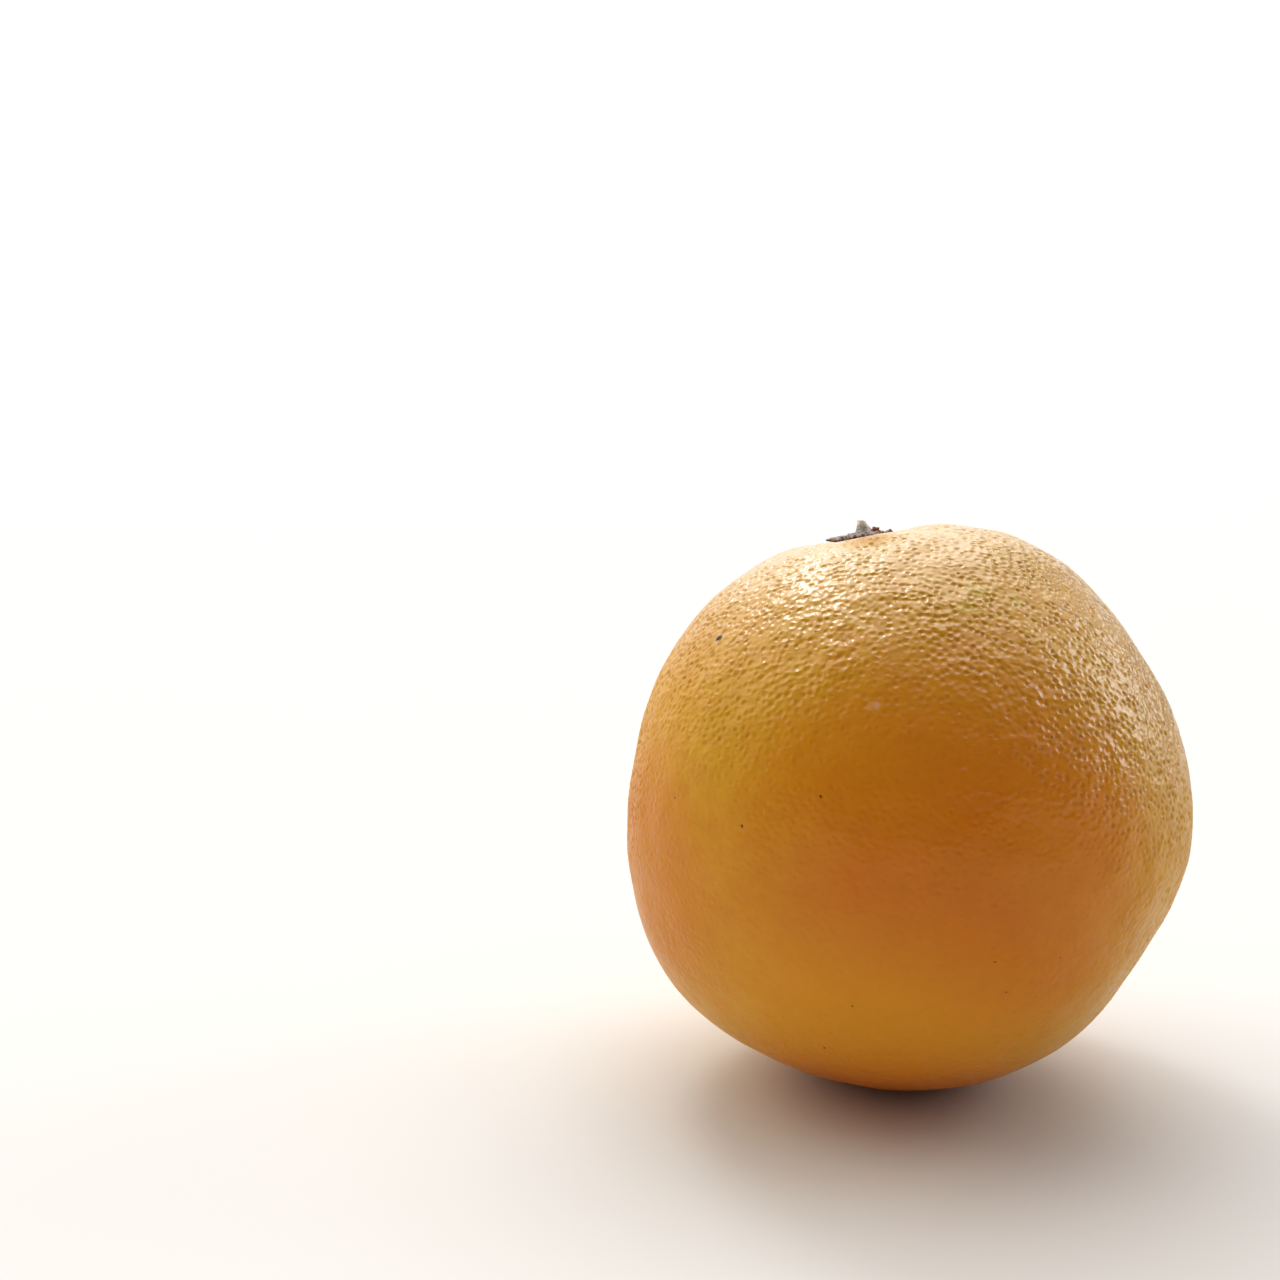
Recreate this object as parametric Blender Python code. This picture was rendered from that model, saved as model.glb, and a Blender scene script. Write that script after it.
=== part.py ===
"""A whole sweet orange, as picked, resting on the small flat spot that its weight presses into the peel.

Three pieces: the fruit, the dry star-shaped calyx at its stem end, and the stub of the snapped stem. +Z is up
and the origin is under the middle of the fruit, on the surface that it rests on. -Y is the side that faces a
viewer, and the stem end leans up, left and a little away.
"""

import math
import random
from collections import namedtuple

import bmesh
import bpy
from mathutils import Matrix, Vector, kdtree, noise

MM = 0.001

# The fruit
FRUIT_RADIUS = 43.0 * MM
FRUIT_CENTRE = Vector((0.0 * MM, 0.0 * MM, 42.3 * MM))
STEM_AZIMUTH, STEM_ELEVATION = 168.0, 80.8

# Broad swellings and flats that keep the fruit from being a ball. Azimuth runs from +X towards +Y
Swell = namedtuple("Swell", "azimuth elevation spread height")
SWELLS = (
    Swell(azimuth=-1, elevation=66, spread=20, height=1.7 * MM),  # the shoulder right of the stem
    Swell(azimuth=-6, elevation=30, spread=18, height=-0.45 * MM),  # the flat under that shoulder
    Swell(azimuth=-19, elevation=-28, spread=18, height=-1.45 * MM),  # the low right flat
    Swell(azimuth=-156, elevation=-37, spread=24, height=1.85 * MM),  # the low left bulge
    Swell(azimuth=-171, elevation=12, spread=22, height=-1.0 * MM),  # the flat left cheek
    Swell(azimuth=-177, elevation=51, spread=20, height=0.3 * MM),  # the shoulder left of the stem
    Swell(azimuth=100, elevation=12, spread=30, height=-0.9 * MM),  # the flat on the far side
    Swell(azimuth=62, elevation=-35, spread=26, height=0.8 * MM),  # the low bulge on the far side
)
WAVE_HEIGHT, WAVE_LENGTH = 0.22 * MM, 7.5 * MM

# The stem end: a shallow bowl round the calyx, with furrows that run out of it. Bearing 0 is towards +X and
# 270 towards the viewer, reach is an angle at the fruit's centre.
BOWL_DEPTH, BOWL_SPREAD = 1.8 * MM, 9.0
Furrow = namedtuple("Furrow", "bearing reach depth")
FURROWS = (
    Furrow(bearing=325, reach=22, depth=0.90 * MM),
    Furrow(bearing=15, reach=25, depth=0.65 * MM),
    Furrow(bearing=62, reach=17, depth=0.50 * MM),
    Furrow(bearing=110, reach=22, depth=0.60 * MM),
    Furrow(bearing=163, reach=17, depth=0.50 * MM),
    Furrow(bearing=207, reach=19, depth=0.55 * MM),
    Furrow(bearing=250, reach=14, depth=0.60 * MM),
    Furrow(bearing=288, reach=15, depth=0.40 * MM),
)
FURROW_START, FURROW_WIDTH = 6.5, 2.3 * MM

# The stylar scar, opposite the stem
SCAR_SPREAD, SCAR_DEPTH = 3.2, 0.45 * MM

# The peel's dimples, about three times as wide as life
PEEL_POINTS, PEEL_SEED = 5000, 11
PEEL_SHAKE = 0.12
DIMPLE_SPACING = 4.0 * MM
SHALLOWEST_DIMPLE, DEEPEST_DIMPLE = 0.35 * MM, 0.65 * MM
FLAT_REACH = 12.0

# The calyx, whose plan sizes are measured from the stem's axis
GAP = 0.3 * MM
DISC_RADIUS, DISC_HEIGHT = 2.1 * MM, 1.25 * MM
SEPAL_REACHES = (3.6 * MM, 5.1 * MM, 5.5 * MM, 4.4 * MM, 3.7 * MM)
SEPAL_BEARING = 38.0
SEPAL_ROOT, SEPAL_TIP = 1.0 * MM, 0.70 * MM
NOTCH_REACH, SEPAL_POINT = 2.8 * MM, 0.9
SEPAL_CURL, CURL_WAVE = 0.25 * MM, 1.7 * MM
CALYX_SIDES, CALYX_RINGS = 60, 4

# How far off the seat the peel is looked for under the calyx, and how many times that stretch is halved
SEARCH_REACH, SEARCH_STEPS = 6 * MM, 24

# The stem stub
STUB_RADIUS, STUB_HEIGHT = 1.35 * MM, 1.25 * MM
STUB_SLANT, STUB_RIDGES, STUB_RIDGE_DEPTH = -0.20, 7, 0.07
STUB_SIDES = 28


def direction(azimuth, elevation):
    """The unit vector at an azimuth and an elevation, in degrees."""
    across, up = math.radians(azimuth), math.radians(elevation)
    return Vector((math.cos(up) * math.cos(across), math.cos(up) * math.sin(across), math.sin(up)))


STEM_AXIS = direction(STEM_AZIMUTH, STEM_ELEVATION)
STEM_RIGHT = (Vector((1, 0, 0)) - STEM_AXIS * STEM_AXIS.x).normalized()
STEM_TURN = Matrix((STEM_RIGHT, STEM_AXIS.cross(STEM_RIGHT), STEM_AXIS)).transposed()
SWELL_WAYS = [direction(swell.azimuth, swell.elevation) for swell in SWELLS]


def bell(angle, spread):
    """1 at angle 0, falling smoothly to 0 past the spread."""
    return math.exp(-((angle / spread) ** 2))


def angle_between(first, second):
    """The angle between two unit vectors, in degrees."""
    return math.degrees(math.acos(max(-1.0, min(1.0, first.dot(second)))))


def furrow_depth(angle, bearing):
    """How far the furrows sink the peel at this angle from the stem, on this bearing round it."""
    depth = 0.0
    for furrow in FURROWS:
        turn = math.radians((bearing - furrow.bearing + 180) % 360 - 180)
        if abs(turn) > math.pi / 2 or angle > 2 * furrow.reach:
            continue
        off_line = math.sin(turn) * FRUIT_RADIUS * math.sin(math.radians(angle))
        width = FURROW_WIDTH * (0.6 + angle / furrow.reach)
        opening = 1 - bell(angle, FURROW_START)
        depth += furrow.depth * opening * bell(angle, furrow.reach) * bell(off_line, width)
    return depth


def peel_radius(way):
    """The distance from the fruit's centre to its smooth peel, along a unit vector."""
    radius = FRUIT_RADIUS
    for swell, swell_way in zip(SWELLS, SWELL_WAYS):
        radius += swell.height * bell(angle_between(way, swell_way), swell.spread)
    radius += WAVE_HEIGHT * noise.noise(way * (FRUIT_RADIUS / WAVE_LENGTH))
    from_stem = angle_between(way, STEM_AXIS)
    local = way @ STEM_TURN
    bearing = math.degrees(math.atan2(local.y, local.x)) % 360
    radius -= BOWL_DEPTH * bell(from_stem, BOWL_SPREAD) + furrow_depth(from_stem, bearing)
    return radius - SCAR_DEPTH * bell(180 - from_stem, SCAR_SPREAD)


def peel_ways():
    """Unit vectors that cover the fruit evenly: a golden spiral, shaken a little."""
    draw = random.Random(PEEL_SEED)
    golden = math.pi * (3 - math.sqrt(5))
    shake = PEEL_SHAKE * math.sqrt(4 * math.pi / PEEL_POINTS)
    ways = []
    for index in range(PEEL_POINTS):
        height = 1 - 2 * (index + 0.5) / PEEL_POINTS
        flat = math.sqrt(1 - height**2)
        turn = index * golden
        way = Vector((flat * math.cos(turn), flat * math.sin(turn), height))
        way += Vector([draw.uniform(-shake, shake) for _ in range(3)])
        ways.append(way.normalized())
    return ways


def dimples(ways):
    """The depth of each dimple, by the index of its way. No two of them are close."""
    draw = random.Random(PEEL_SEED)
    spacing = DIMPLE_SPACING / FRUIT_RADIUS
    tree = kdtree.KDTree(len(ways))
    for index, way in enumerate(ways):
        tree.insert(way, index)
    tree.balance()
    depths = {}
    for index in draw.sample(range(len(ways)), len(ways)):
        if not any(near in depths for _, near, _ in tree.find_range(ways[index], spacing)):
            depths[index] = draw.uniform(SHALLOWEST_DIMPLE, DEEPEST_DIMPLE)
    return depths


def new_object(name, mesh_maker, material, parent=None, location=(0, 0, 0)):
    """An object of that name whose mesh the maker builds, shaded smooth but for its sharp edges."""
    mesh = bpy.data.meshes.new(name)
    shape = mesh_maker()
    bmesh.ops.recalc_face_normals(shape, faces=shape.faces)
    shape.to_mesh(mesh)
    shape.free()
    mesh.shade_smooth()
    mesh.set_sharp_from_angle(angle=math.radians(60))
    mesh.materials.append(material)
    made = bpy.data.objects.new(name, mesh)
    bpy.context.collection.objects.link(made)
    made.parent = parent
    made.location = location
    return made


def principled(name, colour, roughness):
    """A plain material of one colour."""
    material = bpy.data.materials.new(name)
    material.use_nodes = True
    shader = material.node_tree.nodes["Principled BSDF"]
    shader.inputs["Base Color"].default_value = (*colour, 1.0)
    shader.inputs["Roughness"].default_value = roughness
    shader.inputs["Metallic"].default_value = 0.0
    return material


def fruit_shape():
    """The fruit about its own centre: dimpled peel, pressed flat where it rests."""
    ways = peel_ways()
    depths = dimples(ways)
    down = Vector((0, 0, -1))
    shape = bmesh.new()
    points = [bmesh.ops.create_vert(shape, co=way)["vert"][0] for way in ways]
    bmesh.ops.convex_hull(shape, input=shape.verts)
    for index, (point, way) in enumerate(zip(points, ways)):
        dented = 1 - bell(angle_between(way, down), FLAT_REACH)
        point.co = way * (peel_radius(way) - depths.get(index, 0) * dented)
        point.co.z = max(point.co.z, -FRUIT_CENTRE.z)
    return shape


def peel_height(x, y, seat):
    """The peel's height over a point beside the stem's axis, in the frame whose origin is at the seat."""
    low, high = -SEARCH_REACH, SEARCH_REACH
    for _ in range(SEARCH_STEPS):
        middle = (low + high) / 2
        point = STEM_TURN @ Vector((x, y, seat + middle))
        if point.length > peel_radius(point.normalized()):
            high = middle
        else:
            low = middle
    return (low + high) / 2


def turned(profile, sides):
    """A closed solid turned about Z from a profile that starts and ends on it."""
    shape = bmesh.new()
    verts = [bmesh.ops.create_vert(shape, co=(x, 0, z))["vert"][0] for x, z in profile]
    edges = [shape.edges.new(pair) for pair in zip(verts, verts[1:])]
    bmesh.ops.spin(
        shape, geom=verts + edges, axis=(0, 0, 1), angle=2 * math.pi, steps=sides, use_merge=True
    )
    bmesh.ops.remove_doubles(shape, verts=shape.verts, dist=0.001 * MM)
    bmesh.ops.recalc_face_normals(shape, faces=shape.faces)
    return shape


def sepal_reach(bearing):
    """How far the star's edge lies from the axis, on this bearing in degrees."""
    share = 360 / len(SEPAL_REACHES)
    turn = (bearing - SEPAL_BEARING) % 360
    index = round(turn / share) % len(SEPAL_REACHES)
    off_middle = abs((turn + share / 2) % share - share / 2)
    blade = (1 - 2 * off_middle / share) ** SEPAL_POINT
    return NOTCH_REACH + (SEPAL_REACHES[index] - NOTCH_REACH) * blade


def calyx_shape(seat):
    """The button: a raised disc under the stub, with five sepals round it that lie along the peel."""
    profile = [(0, DISC_HEIGHT), (0.5 * DISC_RADIUS, DISC_HEIGHT), (DISC_RADIUS, 0.94 * DISC_HEIGHT)]
    for ring in range(1, CALYX_RINGS + 1):
        out = ring / CALYX_RINGS
        profile.append((DISC_RADIUS * (1 + out), SEPAL_ROOT + (SEPAL_TIP - SEPAL_ROOT) * out))
    profile += [(DISC_RADIUS * (1 + ring / CALYX_RINGS), 0) for ring in range(CALYX_RINGS, -1, -1)] + [(0, 0)]
    shape = turned(profile, CALYX_SIDES)
    for vert in shape.verts:
        flat = vert.co.xy.length
        bearing = math.degrees(math.atan2(vert.co.y, vert.co.x))
        if flat > DISC_RADIUS:
            out = (flat - DISC_RADIUS) / DISC_RADIUS
            reach = DISC_RADIUS + (sepal_reach(bearing) - DISC_RADIUS) * out
            vert.co.xy *= reach / flat
            vert.co.z += SEPAL_CURL * out**3 * (1 + noise.noise(vert.co / CURL_WAVE))
        vert.co.z += peel_height(vert.co.x, vert.co.y, seat) + GAP
    return shape


def stub_shape():
    """What is left of the stem: a short ridged peg, wider at its foot, snapped off on a slant."""
    foot, top = 1.18 * STUB_RADIUS, 0.9 * STUB_RADIUS
    profile = [
        (0, STUB_HEIGHT),
        (0.5 * top, STUB_HEIGHT),
        (top, 0.93 * STUB_HEIGHT),
        (STUB_RADIUS, 0.7 * STUB_HEIGHT),
        (STUB_RADIUS, 0.3 * STUB_HEIGHT),
        (foot, 0.05 * STUB_HEIGHT),
        (foot, 0),
        (0, 0),
    ]
    shape = turned(profile, STUB_SIDES)
    for vert in shape.verts:
        ridges = 1 + STUB_RIDGE_DEPTH * math.cos(STUB_RIDGES * math.atan2(vert.co.y, vert.co.x))
        vert.co.xy *= ridges
        vert.co.z += STUB_SLANT * vert.co.x * vert.co.z / STUB_HEIGHT
    return shape


def main():
    """Build the three pieces in an emptied scene."""
    for old in list(bpy.data.objects):
        bpy.data.objects.remove(old, do_unlink=True)
    peel = principled("waxed_peel", colour=(0.78, 0.29, 0.013), roughness=0.42)
    dry_calyx = principled("dry_calyx", colour=(0.13, 0.11, 0.08), roughness=0.85)
    dry_wood = principled("dry_stem_wood", colour=(0.30, 0.25, 0.18), roughness=0.9)

    new_object("fruit", fruit_shape, peel, location=FRUIT_CENTRE)

    seat = peel_radius(STEM_AXIS)
    stem_end = bpy.data.objects.new("stem_end", None)
    bpy.context.collection.objects.link(stem_end)
    stem_end.location = FRUIT_CENTRE + STEM_AXIS * seat
    stem_end.rotation_euler = STEM_TURN.to_euler()
    new_object("calyx", lambda: calyx_shape(seat), dry_calyx, parent=stem_end)
    new_object("stem_stub", stub_shape, dry_wood, parent=stem_end, location=(0, 0, DISC_HEIGHT + 2 * GAP))


main()
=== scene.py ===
"""Looks of a whole sweet orange: pitted waxed peel, dry star-shaped calyx and snapped stem stub.

The peel, the calyx and the stub are each made anew over their plain solids, at the same sizes and from the
same formula for the fruit's form, with the relief and the finish of the real thing.
"""

import logging
import math
import random
from collections.abc import Callable
from dataclasses import dataclass, field
from enum import Enum
from functools import partial

import bmesh
import bpy
import numpy as np
from mathutils import Euler, Matrix, Vector, kdtree, noise


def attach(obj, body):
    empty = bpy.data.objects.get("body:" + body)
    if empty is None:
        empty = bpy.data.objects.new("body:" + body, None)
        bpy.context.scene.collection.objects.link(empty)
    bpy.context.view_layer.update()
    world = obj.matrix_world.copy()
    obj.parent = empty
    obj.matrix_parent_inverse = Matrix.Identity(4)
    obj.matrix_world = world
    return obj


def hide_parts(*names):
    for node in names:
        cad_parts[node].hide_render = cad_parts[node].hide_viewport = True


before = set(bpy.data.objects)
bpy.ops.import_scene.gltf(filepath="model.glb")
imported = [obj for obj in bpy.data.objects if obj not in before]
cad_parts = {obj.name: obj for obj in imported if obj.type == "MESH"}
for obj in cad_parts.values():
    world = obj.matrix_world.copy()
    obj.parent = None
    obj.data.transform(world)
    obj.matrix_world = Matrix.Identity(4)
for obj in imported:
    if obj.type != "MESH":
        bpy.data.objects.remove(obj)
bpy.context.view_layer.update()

MM = 0.001
MERGE = 0.0001 * MM
LOG = logging.getLogger("orange")

# How far a seed of 1 shifts a crumple along X, Y and Z
SEED_SHIFT = (1.0, 1.7, -1.0)

# A node's output, and add_node with its tree filled in
Socket = bpy.types.NodeSocket
Adder = Callable[..., Socket]


def direction(azimuth: float, elevation: float) -> Vector:
    """Give the unit vector at an azimuth, from +X towards +Y, and an elevation.

    Args:
        azimuth: degrees round +Z.
        elevation: degrees above the level.

    Returns:
        The unit vector.
    """
    across, up = math.radians(azimuth), math.radians(elevation)
    return Vector((math.cos(up) * math.cos(across), math.cos(up) * math.sin(across), math.sin(up)))


def bell(distance: np.ndarray, spread: float) -> np.ndarray:
    """Give 1 at distance 0, about a third at the spread, and nearly 0 past twice the spread."""
    return np.exp(-((distance / spread) ** 2))


def eased(value: np.ndarray, low: float, high: float) -> np.ndarray:
    """Give 0 at low and 1 at high, with a smooth rise between them."""
    share = np.clip((value - low) / (high - low), 0, 1)
    return share * share * (3 - 2 * share)


@dataclass(frozen=True)
class Crumple:
    """Smooth lumps with no pattern. Their height and length are in the units of what they shape."""

    height: float
    length: float
    seed: float = 0.0

    def at(self, points: np.ndarray, turn: float = 0.0) -> np.ndarray:
        """Give the lumps' height at each point, from about minus to plus their full height.

        Args:
            points: the places, one in each row.
            turn: added to the seed, so that one crumple gives several pieces lumps of their own.

        Returns:
            The height at each point.
        """
        shift = Vector([step * (self.seed + turn) for step in SEED_SHIFT])
        return self.height * np.array([noise.noise(Vector(point) / self.length + shift) for point in points])


def crumpled(points: np.ndarray, crumples: tuple[Crumple, ...]) -> np.ndarray:
    """Add up several crumples at each of the points."""
    return sum(crumple.at(points) for crumple in crumples)


def srgb(code: str) -> tuple[float, float, float, float]:
    """Turn an sRGB hex colour into linear red, green, blue and alpha.

    Args:
        code: six hex digits after a hash sign.

    Returns:
        The linear colour with an alpha of 1.
    """
    # The two-part curve of the sRGB standard
    parts = [int(code[place:place + 2], 16) / 255 for place in (1, 3, 5)]
    linear = [part / 12.92 if part <= 0.04045 else ((part + 0.055) / 1.055) ** 2.4 for part in parts]
    return (*linear, 1.0)


def add_node(
    tree: bpy.types.NodeTree,
    kind: str,
    inputs: dict | None = None,
    output: int | str = 0,
    **settings: object,
) -> Socket:
    """Add a node with its settings, and with each input set to a value or linked to another node's output.

    Inputs that share a name are numbered. A MapRange has its value at 0, the two ends that it reads at 1
    and 2, and the two that it gives at 3 and 4. A Mix of colours has its share at 0, its colours at 6 and 7.

    Args:
        tree: the node tree that takes the node.
        kind: the node's type, without its ShaderNode prefix.
        inputs: a value or an output socket for each input, by the input's name or number.
        output: the name or number of the output wanted.
        settings: the node's own properties.

    Returns:
        The node's output socket.
    """
    made = tree.nodes.new("ShaderNode" + kind)
    for name, value in settings.items():
        setattr(made, name, value)
    for name, value in (inputs or {}).items():
        if isinstance(value, Socket):
            tree.links.new(value, made.inputs[name])
        else:
            made.inputs[name].default_value = value
    return made.outputs[output]


def new_material(name: str) -> tuple[bpy.types.Material, bpy.types.NodeTree, bpy.types.Node]:
    """Make a material with a Principled shader.

    Args:
        name: the material's name.

    Returns:
        The material, its node tree and its Principled shader.
    """
    material = bpy.data.materials.new(name)
    material.use_nodes = True
    return material, material.node_tree, material.node_tree.nodes["Principled BSDF"]


def new_object(name: str, shape: bmesh.types.BMesh) -> bpy.types.Object:
    """Turn a bmesh into an object at the origin, shaded smooth, with its faces pointing out.

    Args:
        name: the object's name.
        shape: the bmesh, which is freed.

    Returns:
        The object.
    """
    mesh = bpy.data.meshes.new(name)
    bmesh.ops.recalc_face_normals(shape, faces=shape.faces)
    shape.to_mesh(mesh)
    shape.free()
    mesh.shade_smooth()
    made = bpy.data.objects.new(name, mesh)
    bpy.context.collection.objects.link(made)
    return made


def turned(profile: list[tuple[float, float]], sides: int) -> bmesh.types.BMesh:
    """Turn a profile that starts and ends on the axis about Z.

    Args:
        profile: distance from the axis and height of each point.
        sides: how many steps the full turn has.

    Returns:
        The closed solid.
    """
    shape = bmesh.new()
    verts = [bmesh.ops.create_vert(shape, co=(x, 0, z))["vert"][0] for x, z in profile]
    edges = [shape.edges.new(pair) for pair in zip(verts, verts[1:])]
    bmesh.ops.spin(
        shape,
        geom=verts + edges,
        cent=(0, 0, 0),
        axis=(0, 0, 1),
        angle=2 * math.pi,
        steps=sides,
        use_merge=True,
    )
    bmesh.ops.remove_doubles(shape, verts=shape.verts, dist=MERGE)
    return shape


@dataclass(frozen=True)
class Swell:
    """A broad swelling of the fruit, or a flat where its height is negative.

    Azimuth, elevation and spread are in degrees.
    """

    azimuth: float
    elevation: float
    spread: float
    height: float


@dataclass(frozen=True)
class Furrow:
    """A furrow that runs out of the bowl round the calyx. Bearing and reach are in degrees."""

    bearing: float
    reach: float
    depth: float


@dataclass
class FruitForm:
    """The fruit's form without its fine relief, which is the form of its solid."""

    radius: float = 43.0 * MM
    centre: Vector = field(default_factory=lambda: Vector((0.0, 0.0, 42.3 * MM)))
    stem_azimuth: float = 168.0
    stem_elevation: float = 80.8
    swells: tuple[Swell, ...] = (
        Swell(azimuth=-1, elevation=66, spread=20, height=1.7 * MM),
        Swell(azimuth=-6, elevation=30, spread=18, height=-0.45 * MM),
        Swell(azimuth=-19, elevation=-28, spread=18, height=-1.45 * MM),
        Swell(azimuth=-156, elevation=-37, spread=24, height=1.85 * MM),
        Swell(azimuth=-171, elevation=12, spread=22, height=-1.0 * MM),
        Swell(azimuth=-177, elevation=51, spread=20, height=0.3 * MM),
        Swell(azimuth=100, elevation=12, spread=30, height=-0.9 * MM),
        Swell(azimuth=62, elevation=-35, spread=26, height=0.8 * MM),
    )
    wave: Crumple = Crumple(height=0.22 * MM, length=7.5 * MM)
    bowl_depth: float = 1.8 * MM
    bowl_spread: float = 9.0
    furrows: tuple[Furrow, ...] = (
        Furrow(bearing=325, reach=22, depth=0.90 * MM),
        Furrow(bearing=15, reach=25, depth=0.65 * MM),
        Furrow(bearing=62, reach=17, depth=0.50 * MM),
        Furrow(bearing=110, reach=22, depth=0.60 * MM),
        Furrow(bearing=163, reach=17, depth=0.50 * MM),
        Furrow(bearing=207, reach=19, depth=0.55 * MM),
        Furrow(bearing=250, reach=14, depth=0.60 * MM),
        Furrow(bearing=288, reach=15, depth=0.40 * MM),
    )
    furrow_start: float = 6.5
    furrow_width: float = 2.3 * MM
    furrow_pinch: float = 0.6
    scar_spread: float = 3.2
    scar_depth: float = 0.45 * MM
    search: float = 6.0 * MM
    halvings: int = 24

    def __post_init__(self) -> None:
        """Work out the stem's axis and the frame that turns about it."""
        self.stem_axis = direction(self.stem_azimuth, self.stem_elevation)
        right = (Vector((1, 0, 0)) - self.stem_axis * self.stem_axis.x).normalized()
        self.stem_turn = Matrix((right, self.stem_axis.cross(right), self.stem_axis)).transposed()
        self.seat = float(self.radii(np.array([self.stem_axis]))[0])

    def angles(self, ways: np.ndarray, way: Vector) -> np.ndarray:
        """Give the angle in degrees between each of the unit vectors and one way."""
        return np.degrees(np.arccos(np.clip(ways @ np.array(way), -1.0, 1.0)))

    def furrow_depths(self, angles: np.ndarray, bearings: np.ndarray) -> np.ndarray:
        """Give how far the furrows sink the peel.

        Args:
            angles: degrees from the stem's axis.
            bearings: degrees round it.

        Returns:
            The depth at each.
        """
        depths = np.zeros(len(angles))
        for furrow in self.furrows:
            turn = np.radians((bearings - furrow.bearing + 180) % 360 - 180)
            off_line = np.sin(turn) * self.radius * np.sin(np.radians(angles))
            width = self.furrow_width * (self.furrow_pinch + angles / furrow.reach)
            depth = furrow.depth * (1 - bell(angles, self.furrow_start)) * bell(angles, furrow.reach)
            near = (np.abs(turn) <= math.pi / 2) & (angles <= 2 * furrow.reach)
            depths += np.where(near, depth * bell(off_line, width), 0)
        return depths

    def radii(self, ways: np.ndarray) -> np.ndarray:
        """Give the distance from the fruit's centre to its smooth peel.

        Args:
            ways: unit vectors, one in each row.

        Returns:
            The distance along each.
        """
        radii = np.full(len(ways), self.radius)
        for swell in self.swells:
            way = direction(swell.azimuth, swell.elevation)
            radii += swell.height * bell(self.angles(ways, way), swell.spread)
        radii += self.wave.at(ways * self.radius)
        from_stem = self.angles(ways, self.stem_axis)
        local = ways @ np.array(self.stem_turn)
        bearings = np.degrees(np.arctan2(local[:, 1], local[:, 0])) % 360
        radii -= self.bowl_depth * bell(from_stem, self.bowl_spread)
        radii -= self.furrow_depths(from_stem, bearings)
        return radii - self.scar_depth * bell(180 - from_stem, self.scar_spread)

    def peel_heights(self, plan: np.ndarray) -> np.ndarray:
        """Search for the peel's height in the stem's frame, whose origin is at the calyx's seat, by halving.

        Args:
            plan: points beside the stem's axis, X and Y in each row.

        Returns:
            The height of the peel over each.
        """
        low, high = np.full(len(plan), -self.search), np.full(len(plan), self.search)
        for _ in range(self.halvings):
            middle = (low + high) / 2
            points = np.column_stack([plan, self.seat + middle]) @ np.array(self.stem_turn).T
            lengths = np.linalg.norm(points, axis=1)
            outside = lengths > self.radii(points / lengths[:, None])
            low, high = np.where(outside, low, middle), np.where(outside, middle, high)
        return (low + high) / 2

    def to_world(self, points: np.ndarray) -> np.ndarray:
        """Carry points from the stem's frame to the world."""
        return (points + [0, 0, self.seat]) @ np.array(self.stem_turn).T + np.array(self.centre)

    def on_peel(self, azimuth: float, elevation: float) -> Vector:
        """Give the point of the peel at an azimuth and an elevation from the fruit's centre."""
        way = direction(azimuth, elevation)
        return self.centre + way * float(self.radii(np.array([way]))[0])


@dataclass(frozen=True)
class Mark:
    """A patch of colour on the peel: a blemish, a tone, or painted light and shade. It fades to nothing at
    its radius.
    """

    azimuth: float
    elevation: float
    radius: float
    colour: str
    strength: float = 1.0


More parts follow.
